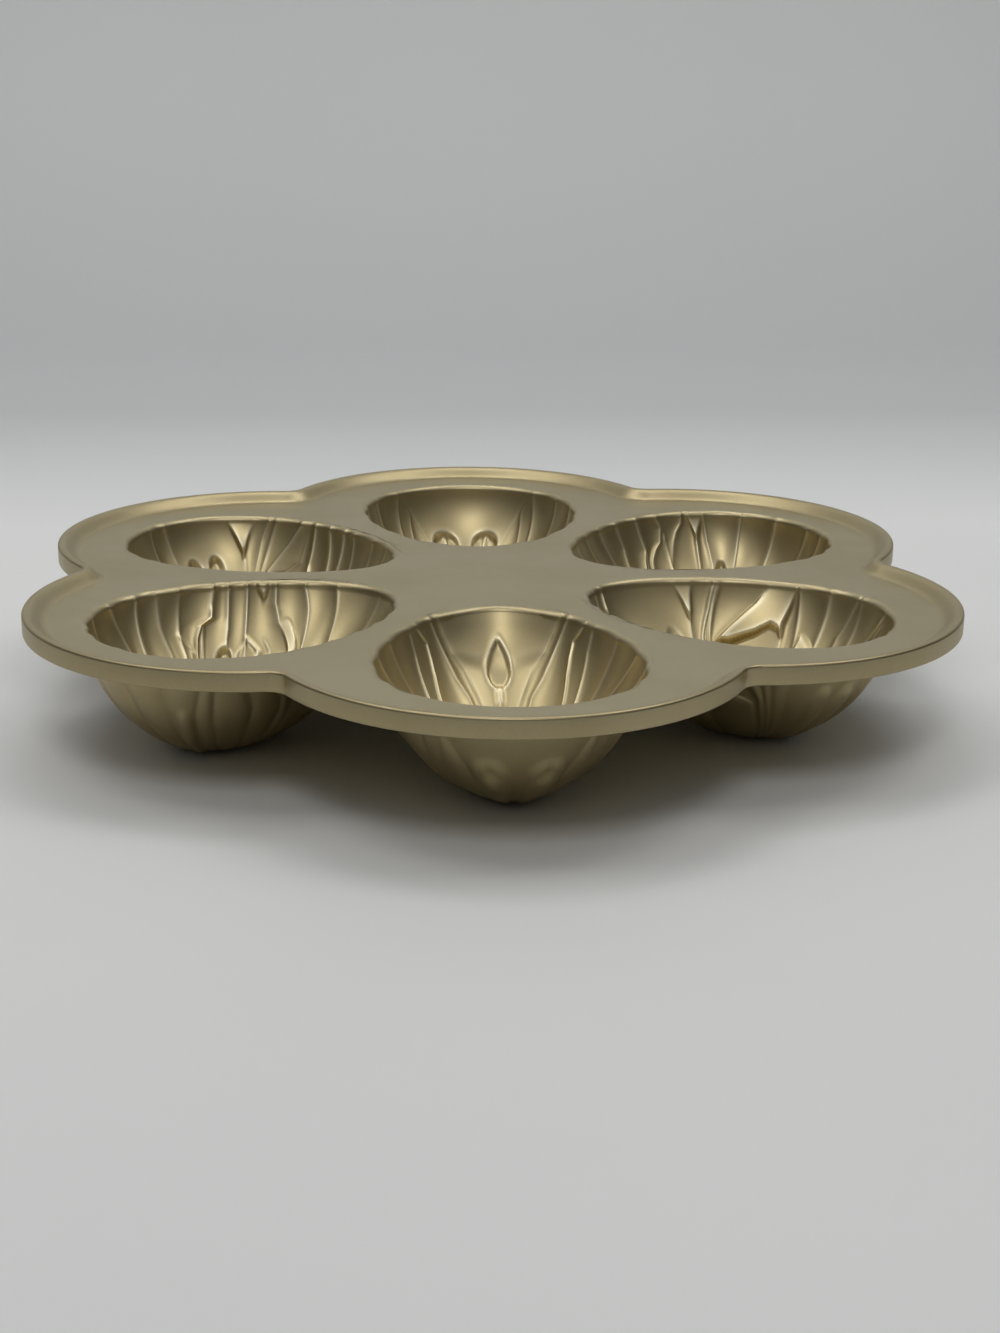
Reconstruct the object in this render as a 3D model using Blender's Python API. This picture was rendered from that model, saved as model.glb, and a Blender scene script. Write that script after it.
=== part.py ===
"""A cakelet pan: six relief wells in a six-lobed deck with a raised rim, cast in aluminium.

The casting is divided along its own boundaries into the deck, the raised rim and six wells.
Metres, +Z up. The origin is under the middle of the pan, on the surface that its wells stand on.
"""

import math
from collections import namedtuple

import bmesh
import bpy
import numpy as np

MM = 0.001

# Plan of the pan
WELL_NAMES = ("front", "front_right", "back_right", "back", "back_left", "front_left")
LOBE_CENTRE = 91.5 * MM  # from the middle of the pan to the middle of a lobe
LOBE_RADIUS = 76.5 * MM  # outer edge round a lobe
NOTCH_RADIUS = 7.1 * MM  # rounding where two lobes meet
FIRST_LOBE = -90.0  # direction of the front lobe, degrees

# Deck and rim
DECK_THICKNESS = 3.0 * MM
RIM_RAISE = 3.6 * MM  # top of the rim above the deck
RIM_WIDTH = 7.5 * MM  # outer edge to the foot of the inner slope
RIM_LAND = 3.0 * MM  # outer edge to where the inner slope begins
RIM_EDGE_RADIUS = 0.9 * MM

# Wells
WALL = 3.2 * MM  # floor, and the collar that joins a well to the deck
SIDE_WALL = 1.0 * MM  # how much larger the outside's bowl is than the inside's at the deck
WELL_DEPTH = 39.5 * MM  # deck to the inside of the floor
LIP_RADIUS = 1.2 * MM
LIP_SHARE = 0.7  # most of the collar that the rounded lip may take
LEDGE = 11.9 * MM  # flat deck between the rim and the collar of a well
HUB_RADIUS = 38.2 * MM  # flat deck in the middle of the pan
BRIDGE = 6.2 * MM  # narrowest deck between the collars of two neighbouring wells
EGG = 0.19  # how much wider a well is at its outer end than at its middle
BOWL_FULLNESS = 2.0  # exponent of the bowl's section: 2 is an ellipse, more is fuller
INSIDE_TAPER = 0.26  # share of its width that the inside has lost at the floor by leaning in
OUTSIDE_TAPER = 0.20
FOOT_DOWN = 0.885  # edge of the flat foot, as a share of the way down the outside
RELIEF = 1.5 * MM  # depth of a full fold
NARROWING = 0.6  # how fast the relief flattens towards the floor
FADE = 0.25  # share of the wall over which a fold starts or ends
BOSS_FADE = 0.14
OUTSIDE_RELIEF = 0.7  # how much of the relief shows on the outside

# Clearance between neighbouring solids
SEAM = 0.3 * MM

# Facets
LOBE_STEPS = 12
NOTCH_STEPS = 3
INSIDE_ROWS = (0.14, 0.26, 0.38, 0.55, 0.78)
OUTSIDE_ROWS = (0.2, 0.36, 0.56)
FOLD_FACETS = 0.76  # facets across a fold, times the square root of its degrees

# A fold runs down the wall from its first ridge to the next fold's. lip and base are the ridge's
# direction at the lip and at the middle of the floor, in degrees from the outward direction. sink
# is how far its middle lies outside the plain bowl, as a share of RELIEF, or inside it if negative.
# flat is 2 for a round fold and more for one with a flat middle. lean is how much deeper its far
# side is than its near side, which makes a step at the next ridge. top and low are where it starts
# and ends, as shares of the way from the lip to the middle of the floor.
Fold = namedtuple("Fold", "lip base sink flat lean top low", defaults=(2, 0.0, -0.15, 0.85))

# A boss is a round-topped bulge near the foot. angle and half_width are in degrees.
Boss = namedtuple("Boss", "angle half_width sink top low")

# A design is the shape of one pair of opposite wells. shift moves the well outwards, slack is how
# much narrower its half is than its neighbours allow, and lean is how far the bowl moves outwards
# for each unit of depth, which puts the deepest point under the egg's wide end.
Design = namedtuple("Design", "shift slack lean folds bosses")


def mirrored(panel, half, petal):
    """Folds of a well that is the same on both sides of its outward direction."""
    ends = [fold.lip for fold in half[1:]] + [petal.lip]
    bases = [fold.base for fold in half[1:]] + [petal.base]
    other = [
        fold._replace(lip=-end, base=-base, lean=-fold.lean)
        for fold, end, base in zip(half, ends, bases)
    ]
    return other[::-1] + [panel] + list(half) + [petal]


PETAL_FOLDS = mirrored(
    panel=Fold(-35.0, -12.0, 0.5, 4),
    half=(
        Fold(35.0, 12.0, 0.45, 2, 0.2, 0.05),
        Fold(36.5, 46.0, 0.2, 8, 0.3, 0.1),
        Fold(38.0, 66.0, 0.9, 2, 0.4),
        Fold(55.0, 82.0, 1.0, 2, 0.4),
        Fold(71.0, 98.0, 1.0, 2, 0.4),
        Fold(91.0, 112.0, 1.0, 2, 0.3),
        Fold(108.0, 118.0, 0.8, 2, -0.4),
        Fold(123.5, 124.0, 0.15, 8, -0.5, 0.0),
        Fold(132.0, 132.0, 0.9, 3, 0.3),
        Fold(139.0, 152.0, 0.7, 2, 0.5),
    ),
    petal=Fold(144.5, 167.0, -1.1, 5, 0.0, -0.2, 0.45),
)

LEAF_FOLDS = [
    Fold(-178.0, -180.0, 0.6),
    Fold(-160.0, -172.0, 0.8, 2, 0.2),
    Fold(-144.0, -162.0, 0.9, 2, 0.2),
    Fold(-130.0, -150.0, 0.9, 2, 0.2),
    Fold(-118.0, -138.0, 1.0, 2, 0.3),
    Fold(-107.0, -127.0, 1.0, 2, 0.3),
    Fold(-97.0, -116.0, 0.9, 2, 0.3),
    Fold(-90.5, -104.0, 0.7, 2, 0.5),
    Fold(-86.0, -86.0, -0.2, 8, -1.0),
    Fold(-79.5, -68.0, 0.6, 2, -0.3),
    Fold(-68.8, -60.0, 0.8, 2, -0.3),
    Fold(-58.0, -54.0, -0.4, 3, 0.0, 0.0),
    Fold(-46.5, -50.0, 0.5, 2, 0.3),
    Fold(-38.0, -43.0, 0.8, 5),
    Fold(-13.0, -8.0, 1.0, 2, -0.4),
    Fold(-2.0, 4.0, 0.4, 4, -0.2),
    Fold(31.0, 42.0, 0.9, 2, 0.4),
    Fold(42.0, 49.0, 0.5),
    Fold(52.0, 60.0, 0.9, 3, 0.0, 0.1),
    Fold(66.0, 68.0, 0.9, 2, 0.4),
    Fold(79.0, 76.0, 0.5, 2, -0.9),
    Fold(82.0, 91.0, -1.0, 4, 0.0, -0.1, 0.5),
    Fold(91.5, 130.0, 0.8, 2, 0.5),
    Fold(112.0, 141.0, -0.3, 3),
    Fold(126.5, 148.0, -0.7, 6),
    Fold(172.0, 170.0, 0.5),
]

FLUTE_FOLDS = [
    Fold(-177.0, -194.0, 0.5, 3),
    Fold(-148.5, -178.0, 1.0, 2, 0.4),
    Fold(-134.0, -165.0, 1.0, 2, 0.4),
    Fold(-121.0, -152.0, 1.2, 2, 0.9),
    Fold(-110.5, -128.0, 1.0, 3, 0.3),
    Fold(-103.5, -112.0, 1.0, 2, 0.3),
    Fold(-97.0, -94.0, 1.1, 2, 0.7),
    Fold(-86.0, -85.0, 0.9, 2, 0.3, 0.05),
    Fold(-74.5, -78.0, 1.1, 2, -0.6),
    Fold(-65.0, -64.0, 1.1, 2, -0.6),
    Fold(-50.0, -50.0, 1.0, 2, -0.4),
    Fold(-32.0, -32.0, 1.0, 2, -0.4),
    Fold(-18.0, -16.0, 0.9, 2, -0.4),
    Fold(-6.0, -4.0, 0.8, 4),
    Fold(13.5, 22.0, 1.0, 2, 0.5),
    Fold(32.5, 39.0, 0.9, 2, 0.5),
    Fold(50.5, 50.0, 0.6, 2, 0.5),
    Fold(58.0, 72.0, 0.9, 3, 0.0, 0.05),
    Fold(68.5, 88.0, 0.7, 3, 0.0, 0.05),
    Fold(74.5, 106.0, 1.0, 2, -0.7),
    Fold(86.5, 116.0, 1.0, 2, -0.5),
    Fold(99.0, 126.0, 1.0, 2, -0.5),
    Fold(111.0, 136.0, 1.0, 2, -0.4),
    Fold(124.0, 146.0, 1.0, 2, -0.3),
    Fold(138.0, 156.0, 0.8, 2, -0.2),
    Fold(158.0, 164.0, 0.6),
]

PETAL_BOSSES = (Boss(-14.0, 9.5, 1.4, 0.24, 0.62), Boss(14.0, 9.5, 1.4, 0.24, 0.62))
LEAF_BOSSES = (
    Boss(-37.0, 6.5, 1.1, 0.18, 0.60),
    Boss(-24.0, 5.5, 0.9, 0.19, 0.60),
    Boss(138.0, 6.5, 0.9, 0.20, 0.60),
)
FLUTE_BOSSES = (Boss(-105.0, 5.5, 1.0, 0.28, 0.60), Boss(44.0, 5.5, 0.9, 0.26, 0.60))

DESIGNS = (
    Design(0.0 * MM, 0.0 * MM, 0.20, PETAL_FOLDS, PETAL_BOSSES),
    Design(0.0 * MM, 2.3 * MM, 0.14, LEAF_FOLDS, LEAF_BOSSES),
    Design(2.0 * MM, 1.0 * MM, 0.27, FLUTE_FOLDS, FLUTE_BOSSES),
)

# Sizes that follow
PAN_RADIUS = LOBE_CENTRE + LOBE_RADIUS
DECK_TOP = WELL_DEPTH + WALL
DECK_BOTTOM = DECK_TOP - DECK_THICKNESS
RIM_TOP = DECK_TOP + RIM_RAISE
SECTOR = 2 * math.pi / len(WELL_NAMES)
Well = namedtuple("Well", "centre half_length half_width design turn")

# One of a well's two surfaces: how much larger than the inside it starts, its top, its depth and
# its taper.
Surface = namedtuple("Surface", "grow top depth taper")


def coat(name, colour, roughness):
    """The champagne non-stick coat: a satin metallic finish."""
    material = bpy.data.materials.new(name)
    material.use_nodes = True
    shader = material.node_tree.nodes["Principled BSDF"]
    shader.inputs["Base Color"].default_value = (*colour, 1.0)
    shader.inputs["Metallic"].default_value = 0.85
    shader.inputs["Roughness"].default_value = roughness
    return material


def add_solid(name, shape, material):
    """An object from a bmesh, shaded smooth but for its sharp edges."""
    bmesh.ops.triangulate(shape, faces=shape.faces)
    mesh = bpy.data.meshes.new(name)
    shape.to_mesh(mesh)
    shape.free()
    mesh.shade_smooth()
    mesh.set_sharp_from_angle(angle=math.radians(35))
    mesh.materials.append(material)
    solid = bpy.data.objects.new(name, mesh)
    bpy.context.scene.collection.objects.link(solid)
    return solid


def add_rings(shape, rings):
    """Vertices for each ring of points, with quads between a ring and the next."""
    rows = [[shape.verts.new(point) for point in ring] for ring in rings]
    for upper, lower in zip(rows, rows[1:]):
        for i in range(len(upper)):
            j = (i + 1) % len(upper)
            shape.faces.new((upper[i], lower[i], lower[j], upper[j]))
    return rows


def polar_arc(centre, radius, start, stop, steps):
    """Points along an arc, its last one left to the next arc."""
    angles = np.linspace(start, stop, steps, endpoint=False)
    return centre + radius * np.stack([np.cos(angles), np.sin(angles)], axis=1)


def lobed_outline(inset):
    """The six-lobed edge moved inwards by inset: lobe arcs joined by notch arcs."""
    half_chord = LOBE_CENTRE * math.sin(SECTOR / 2)
    tangent_reach = LOBE_RADIUS + NOTCH_RADIUS
    notch_centre = LOBE_CENTRE * math.cos(SECTOR / 2)
    notch_centre += math.sqrt(tangent_reach**2 - half_chord**2)
    across = notch_centre * math.sin(SECTOR / 2)
    along = notch_centre * math.cos(SECTOR / 2) - LOBE_CENTRE
    tangent = math.atan2(across, along)
    points = []
    for k in range(len(WELL_NAMES)):
        middle = math.radians(FIRST_LOBE) + k * SECTOR
        lobe = LOBE_CENTRE * np.array([math.cos(middle), math.sin(middle)])
        between = middle + SECTOR / 2
        notch = notch_centre * np.array([math.cos(between), math.sin(between)])
        points.append(
            polar_arc(lobe, LOBE_RADIUS - inset, middle - tangent, middle + tangent, LOBE_STEPS)
        )
        first = middle + tangent + math.pi
        last = middle + SECTOR - tangent + math.pi
        points.append(polar_arc(notch, NOTCH_RADIUS + inset, first, last, NOTCH_STEPS))
    return np.concatenate(points)


def raised_to(outline, height):
    return np.column_stack([outline, np.full(len(outline), height)])


def rim_section():
    """The rim's section as (inset from the edge, height), clockwise from its outer bottom."""
    slope = RIM_WIDTH - RIM_LAND
    corner = RIM_EDGE_RADIUS * (1 - math.sqrt(0.5))
    ease = [
        (RIM_LAND + slope * share, RIM_TOP - RIM_RAISE * (1 - math.cos(math.pi * share)) / 2)
        for share in (0.35, 0.7, 1.0)
    ]
    return [
        (0.0, DECK_BOTTOM),
        (0.0, RIM_TOP - RIM_EDGE_RADIUS),
        (corner, RIM_TOP - corner),
        (RIM_EDGE_RADIUS, RIM_TOP),
        (RIM_LAND, RIM_TOP),
        *ease,
        (RIM_WIDTH, DECK_BOTTOM),
    ]


def build_rim():
    """The raised border: one section carried round the six lobes."""
    shape = bmesh.new()
    rings = [raised_to(lobed_outline(inset), height) for inset, height in rim_section()]
    rows = add_rings(shape, rings)
    last, first = rows[-1], rows[0]
    for i in range(len(first)):
        j = (i + 1) % len(first)
        shape.faces.new((last[i], first[i], first[j], last[j]))
    bmesh.ops.recalc_face_normals(shape, faces=shape.faces)
    return add_solid("raised_rim", shape, coat("rim_coat", (0.25, 0.205, 0.12), 0.42))


def half_width_beside_neighbours(centre, half_length):
    """The half width at which an egg-shaped well leaves BRIDGE to the wells beside it."""
    along = np.linspace(-0.95, 0.95, 96)
    room = (centre + half_length * along) * math.sin(SECTOR / 2) - WALL - BRIDGE / 2
    share = (1 + EGG * along) * np.sqrt(1 - along**2)
    return float(np.min(room / (math.cos(SECTOR / 2) * share)))


def place_well(index):
    """Size, place and relief of a well. Opposite wells have the same design."""
    design = DESIGNS[index % len(DESIGNS)]
    outer_end = PAN_RADIUS - RIM_WIDTH - LEDGE - WALL
    inner_end = HUB_RADIUS + WALL
    half_length = (outer_end - inner_end) / 2
    centre = (outer_end + inner_end) / 2 + design.shift
    half_width = half_width_beside_neighbours(centre, half_length) - design.slack
    turn = math.radians(FIRST_LOBE) + index * SECTOR
    return Well(centre, half_length, half_width, design, turn)


def facets_across(span):
    """How many facets a fold of this many degrees takes."""
    return max(1, round(FOLD_FACETS * math.sqrt(span)))


def columns(folds):
    """Each facet column's fold, the next fold and how far across the fold it lies, from 0 to 1."""
    first = folds[0]
    following = folds[1:] + [first._replace(lip=first.lip + 360, base=first.base + 360)]
    table = []
    for fold, after in zip(folds, following):
        steps = facets_across((after.lip - fold.lip + after.base - fold.base) / 2)
        table += [(fold, after, step / steps) for step in range(steps)]
    return table


def smooth_step(value):
    value = np.clip(value, 0.0, 1.0)
    return value * value * (3 - 2 * value)


def directions(table, down):
    """The direction of every column in radians, at this share of the way down the wall."""
    first = np.array([fold.lip + (fold.base - fold.lip) * down for fold, _, _ in table])
    last = np.array([after.lip + (after.base - after.lip) * down for _, after, _ in table])
    across = np.array([part for _, _, part in table])
    return np.radians(first + (last - first) * across)


def relief(design, table, down):
    """How far the wall lies outside the plain bowl at each column, in metres."""
    across = np.array([part for _, _, part in table])
    sink = np.array([fold.sink for fold, _, _ in table])
    flat = np.array([fold.flat for fold, _, _ in table])
    lean = np.array([fold.lean for fold, _, _ in table])
    top = np.array([fold.top for fold, _, _ in table])
    low = np.array([fold.low for fold, _, _ in table])
    section = sink * (1 - np.abs(2 * across - 1) ** flat) + lean * (across - 0.5)
    start = smooth_step((down - top) / FADE)
    depth = section * start * (1 - smooth_step((down - low) / FADE + 1))
    turned = np.degrees(directions(table, down))
    for boss in design.bosses:
        beside = (turned - boss.angle + 180) % 360 - 180
        dome = np.sqrt(1 - np.clip(np.abs(beside) / boss.half_width, 0, 1) ** 2)
        rise = smooth_step((down - boss.top) / BOSS_FADE)
        rise = rise * (1 - smooth_step((down - boss.low) / BOSS_FADE + 1))
        depth = depth + boss.sink * dome * rise
    return depth * RELIEF * math.cos(down * math.pi / 2) ** NARROWING


def bowl_ring(well, table, down, surface, relief_share):
    """One ring of a bowl surface, pushed along the surface's normal by its share of the relief.

    The bowl is sheared outwards: each ring has moved by lean times its depth.
    """
    angle = directions(table, down)
    turn = down * math.pi / 2
    round_out = math.cos(turn) ** (2 / BOWL_FULLNESS)
    deep = math.sin(turn) ** (2 / BOWL_FULLNESS)
    leaning = 1 - surface.taper * deep
    out = round_out * leaning
    length = well.half_length + surface.grow
    width = (well.half_width + surface.grow) * (1 + EGG * np.cos(angle) * out)
    across = np.stack([length * np.cos(angle), width * np.sin(angle)], axis=1)
    reach = np.linalg.norm(across, axis=1)
    level = round_out ** (BOWL_FULLNESS - 1) / reach
    steep = surface.taper * round_out**BOWL_FULLNESS + leaning * deep ** (BOWL_FULLNESS - 1)
    steep = steep / surface.depth - well.design.lean * level * across[:, 0] / reach
    push = relief(well.design, table, down) * relief_share / np.hypot(level, steep)
    plan = across * (out + push * level / reach)[:, None]
    plan[:, 0] += well.design.lean * deep * surface.depth
    height = surface.top - deep * surface.depth - push * steep
    return well_points(well, plan, height)


def lip_outline(well, table, grow, relief_share=0.0):
    """The well's egg-shaped outline in plan at the lip, moved outwards by grow."""
    angle = directions(table, 0.0)
    width = well.half_width * (1 + EGG * np.cos(angle))
    plan = np.stack([well.half_length * np.cos(angle), width * np.sin(angle)], axis=1)
    ahead, behind = np.roll(plan, -1, axis=0), np.roll(plan, 1, axis=0)
    along = (ahead - behind) / np.linalg.norm(ahead - behind, axis=1)[:, None]
    outward = np.stack([along[:, 1], -along[:, 0]], axis=1)
    push = grow + relief(well.design, table, 0.0) * relief_share
    return plan + outward * push[:, None]


def well_points(well, plan, height):
    """Points given along and across the well's outward direction, placed in the pan."""
    out, aside = plan[:, 0] + well.centre, plan[:, 1]
    x = out * math.cos(well.turn) - aside * math.sin(well.turn)
    y = out * math.sin(well.turn) + aside * math.cos(well.turn)
    return np.column_stack([x, y, np.broadcast_to(height, x.shape)])


def build_well(name, well):
    """A relief well: inside surface, rounded lip, collar in the deck, outside surface and foot."""
    table = columns(well.design.folds)
    collar_land = WALL - relief(well.design, table, 0.0).max()
    lip_radius = min(LIP_RADIUS, LIP_SHARE * collar_land)
    inner = Surface(0.0, DECK_TOP - lip_radius, WELL_DEPTH - lip_radius, INSIDE_TAPER)
    inside = [bowl_ring(well, table, down, inner, 1.0) for down in (0.0,) + INSIDE_ROWS]
    lip = well_points(well, lip_outline(well, table, lip_radius, 1.0), DECK_TOP)
    collar = lip_outline(well, table, WALL)
    collar_rings = [well_points(well, collar, DECK_TOP), well_points(well, collar, DECK_BOTTOM)]
    foot_deep = math.sin(FOOT_DOWN * math.pi / 2) ** (2 / BOWL_FULLNESS)
    outer = Surface(SIDE_WALL, DECK_TOP, DECK_TOP / foot_deep, OUTSIDE_TAPER)
    outside = [bowl_ring(well, table, down, outer, OUTSIDE_RELIEF) for down in OUTSIDE_ROWS]
    foot = bowl_ring(well, table, FOOT_DOWN, outer, 0.0)

    shape = bmesh.new()
    rows = add_rings(shape, inside[::-1] + [lip] + collar_rings + outside + [foot])
    deepest = np.array([[well.design.lean * inner.depth, 0.0]])
    floor = well_points(well, deepest, DECK_TOP - WELL_DEPTH)[0]
    middle = shape.verts.new(floor)
    innermost = rows[0]
    for i in range(len(innermost)):
        shape.faces.new((middle, innermost[i], innermost[(i + 1) % len(innermost)]))
    shape.faces.new(rows[-1])
    bmesh.ops.recalc_face_normals(shape, faces=shape.faces)
    return add_solid(name, shape, coat(name + "_coat", (0.23, 0.18, 0.09), 0.3))


def add_loop(shape, outline):
    """A closed loop of edges at the deck's underside."""
    corners = [shape.verts.new(point) for point in raised_to(outline, DECK_BOTTOM)]
    for i in range(len(corners)):
        shape.edges.new((corners[i], corners[(i + 1) % len(corners)]))


def build_deck(wells):
    """The flat plate inside the rim, with an egg-shaped opening round each well's collar."""
    shape = bmesh.new()
    add_loop(shape, lobed_outline(RIM_WIDTH + SEAM))
    for well in wells:
        opening = lip_outline(well, columns(well.design.folds), WALL + SEAM)
        add_loop(shape, well_points(well, opening, DECK_BOTTOM)[:, :2])
    bmesh.ops.triangle_fill(shape, use_beauty=True, edges=shape.edges)
    raised = bmesh.ops.extrude_face_region(shape, geom=shape.faces[:])["geom"]
    corners = [item for item in raised if isinstance(item, bmesh.types.BMVert)]
    bmesh.ops.translate(shape, verts=corners, vec=(0.0, 0.0, DECK_THICKNESS))
    bmesh.ops.recalc_face_normals(shape, faces=shape.faces)
    return add_solid("deck", shape, coat("deck_coat", (0.26, 0.215, 0.135), 0.5))


def main():
    for old in list(bpy.data.objects):
        bpy.data.objects.remove(old, do_unlink=True)
    wells = [place_well(index) for index in range(len(WELL_NAMES))]
    build_deck(wells)
    build_rim()
    for name, well in zip(WELL_NAMES, wells):
        build_well("well_" + name, well)


main()
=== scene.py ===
# %% [markdown]
# A cakelet pan, dressed for a studio picture. The real pan is one aluminium casting with a champagne
# coat: a flat deck with six lobes, a raised rim and six deep relief wells that it stands on. The packed
# CAD model is the fixed frame, and every piece made here takes the place of one of its solids.

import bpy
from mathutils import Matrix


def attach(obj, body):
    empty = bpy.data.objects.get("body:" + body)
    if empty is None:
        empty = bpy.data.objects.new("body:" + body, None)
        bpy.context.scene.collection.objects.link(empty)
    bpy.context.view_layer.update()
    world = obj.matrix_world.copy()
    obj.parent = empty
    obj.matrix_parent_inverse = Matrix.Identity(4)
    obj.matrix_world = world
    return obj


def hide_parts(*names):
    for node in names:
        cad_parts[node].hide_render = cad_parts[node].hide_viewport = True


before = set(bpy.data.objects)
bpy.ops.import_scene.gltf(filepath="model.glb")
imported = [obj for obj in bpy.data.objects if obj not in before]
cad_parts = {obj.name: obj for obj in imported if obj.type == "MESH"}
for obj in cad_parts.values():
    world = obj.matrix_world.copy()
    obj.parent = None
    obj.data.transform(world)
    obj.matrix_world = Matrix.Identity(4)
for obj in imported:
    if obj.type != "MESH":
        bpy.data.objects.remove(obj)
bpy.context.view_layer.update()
print("solids in the frame:", sorted(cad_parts))

# %% Libraries
import math
from collections import namedtuple

import bmesh
import bpy
import numpy as np
from mathutils import Matrix

MM = 0.001

# %% [markdown]
# The camera comes first, since everything is judged from it. The photograph was taken from low down
# and close by, so its lens and place were worked out from the pan's own outline: the camera stands
# 730 mm from the middle of the pan, 14.6 degrees above its rim and 4 degrees to the left.

# %% Camera
PHOTO_HEIGHT = 1333  # pixels
SENSOR_WIDTH = 36.0  # millimetres
CAMERA_DISTANCE = 730.49 * MM
CAMERA_ELEVATION = 0.2555  # radians above the plane of the rim
CAMERA_AZIMUTH = 0.0714  # radians to the left of straight ahead
CAMERA_TILT = -0.0494  # radians up from the middle of the pan
CAMERA_PAN = 0.0064  # radians right of the middle of the pan
CAMERA_ROLL = 0.0091  # radians about the line of sight
FOCAL_PIXELS = 2058.0  # focal length in pixels of the photograph
CLIP_START = 10 * MM
RIM_TOP = 46.3 * MM


def turned(vector, axis, angle):
    """The vector turned about a unit axis: its part along the axis stays, the rest goes round by angle."""
    along = axis * np.dot(axis, vector)
    return along + (vector - along) * math.cos(angle) + np.cross(axis, vector) * math.sin(angle)


def camera_axes():
    """Place, right, up and forward directions of the camera, from its distance and four angles."""
    right, world_up = np.array([1.0, 0.0, 0.0]), np.array([0.0, 0.0, 1.0])
    forward = np.array([0.0, math.cos(CAMERA_ELEVATION), -math.sin(CAMERA_ELEVATION)])
    place = np.array([0.0, 0.0, RIM_TOP]) - forward * CAMERA_DISTANCE
    forward = turned(forward, right, CAMERA_TILT)
    up = np.cross(right, forward)
    forward, right = turned(forward, up, -CAMERA_PAN), turned(right, up, -CAMERA_PAN)
    right = turned(right, forward, -CAMERA_ROLL)
    up = np.cross(right, forward)
    return [turned(v, world_up, -CAMERA_AZIMUTH) for v in (place, right, up, forward)]


def as_matrix(*columns):
    """An object's matrix from its X, Y and Z directions and its place."""
    return Matrix([*zip(*columns), (0.0, 0.0, 0.0, 1.0)])


def add_camera():
    """A camera whose axes are the columns of its matrix. It looks along its own minus Z."""
    place, right, up, forward = camera_axes()
    camera = bpy.data.objects.new("camera", bpy.data.cameras.new("camera"))
    camera.matrix_world = as_matrix(right, up, -forward, place)
    camera.data.sensor_width = SENSOR_WIDTH
    camera.data.lens = FOCAL_PIXELS / PHOTO_HEIGHT * SENSOR_WIDTH
    camera.data.clip_start = CLIP_START
    bpy.context.scene.collection.objects.link(camera)
    bpy.context.scene.camera = camera
    return camera


camera = add_camera()
print("camera at", [round(v, 4) for v in camera.location])

# %% [markdown]
# The pan's plan is six equal arcs round a circle, with a small round between neighbours. An outline
# moved inwards by some inset keeps the same arc centres, so all the rim's rings and the deck's edge
# are one function of the inset, with the same number of points in the same directions.

# %% Plan of the pan
LOBES = 6
SECTOR = 2 * math.pi / LOBES
FIRST_LOBE = math.radians(-90)
LOBE_CENTRE = 91.5 * MM
LOBE_RADIUS = 76.5 * MM
NOTCH_RADIUS = 7.1 * MM
DECK_TOP = 42.7 * MM
DECK_BOTTOM = 39.7 * MM
LOBE_HALF = 114  # steps along half a lobe's arc
NOTCH_HALF = 12
SPOKE = 194  # steps from a notch to the middle of the pan
EDGE_HALF = LOBE_HALF + NOTCH_HALF
COLUMNS = 2 * (EDGE_HALF + SPOKE)


def arc(centre, radius, start, stop, steps):
    """Centre plus radius times (cosine, sine) of evenly spaced angles, the last one left out."""
    angles = np.linspace(start, stop, steps, endpoint=False)
    return centre + radius * np.stack([np.cos(angles), np.sin(angles)], axis=1)


def lobed_outline(inset):
    """Lobe arcs of LOBE_RADIUS minus inset, joined by notch arcs of NOTCH_RADIUS plus inset."""
    half_chord = LOBE_CENTRE * math.sin(SECTOR / 2)
    notch_centre = LOBE_CENTRE * math.cos(SECTOR / 2)
    notch_centre += math.sqrt((LOBE_RADIUS + NOTCH_RADIUS) ** 2 - half_chord**2)
    across = notch_centre * math.sin(SECTOR / 2)
    tangent = math.atan2(across, notch_centre * math.cos(SECTOR / 2) - LOBE_CENTRE)
    arcs = []
    for k in range(LOBES):
        middle = FIRST_LOBE + k * SECTOR
        between = middle + SECTOR / 2
        lobe = LOBE_CENTRE * np.array([math.cos(middle), math.sin(middle)])
        notch = notch_centre * np.array([math.cos(between), math.sin(between)])
        start, stop = middle - tangent, middle + tangent
        arcs.append(arc(lobe, LOBE_RADIUS - inset, start, stop, 2 * LOBE_HALF))
        start, stop = middle + tangent + math.pi, middle + SECTOR - tangent + math.pi
        arcs.append(arc(notch, NOTCH_RADIUS + inset, start, stop, 2 * NOTCH_HALF))
    return np.concatenate(arcs)


def at_height(outline, height):
    """The outline's points as (x, y, z), with one height or a height for each."""
    return np.column_stack([outline, np.broadcast_to(height, len(outline))])


print("outline points:", len(lobed_outline(0.0)), "columns in a well:", COLUMNS)

# %% [markdown]
# Every piece is a closed grid: rings of points, one after another, with quads between them. A ring
# that ends in a pole is closed with triangles. The grid goes into the mesh in one call. Doubles are
# merged and the faces turned outwards afterwards, so the seams close and light falls on the right side.

# %% Grids into meshes
MERGE_DISTANCE = 0.001 * MM
SHARP_ANGLE = math.radians(50)


def ring_faces(rings, columns):
    """Quads between each ring and the next, as indices into the rings laid end to end."""
    ring = np.arange(rings - 1)[:, None] * columns
    here, ahead = np.arange(columns), (np.arange(columns) + 1) % columns
    corners = [ring + here, ring + columns + here, ring + columns + ahead, ring + ahead]
    return np.stack(corners, axis=-1).reshape(-1, 4)


def fan_faces(first, columns, pole):
    """Triangles from a ring to one point."""
    here = first + np.arange(columns)
    return np.stack([here, first + (np.arange(columns) + 1) % columns, np.full(columns, pole)], 1)


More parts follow.
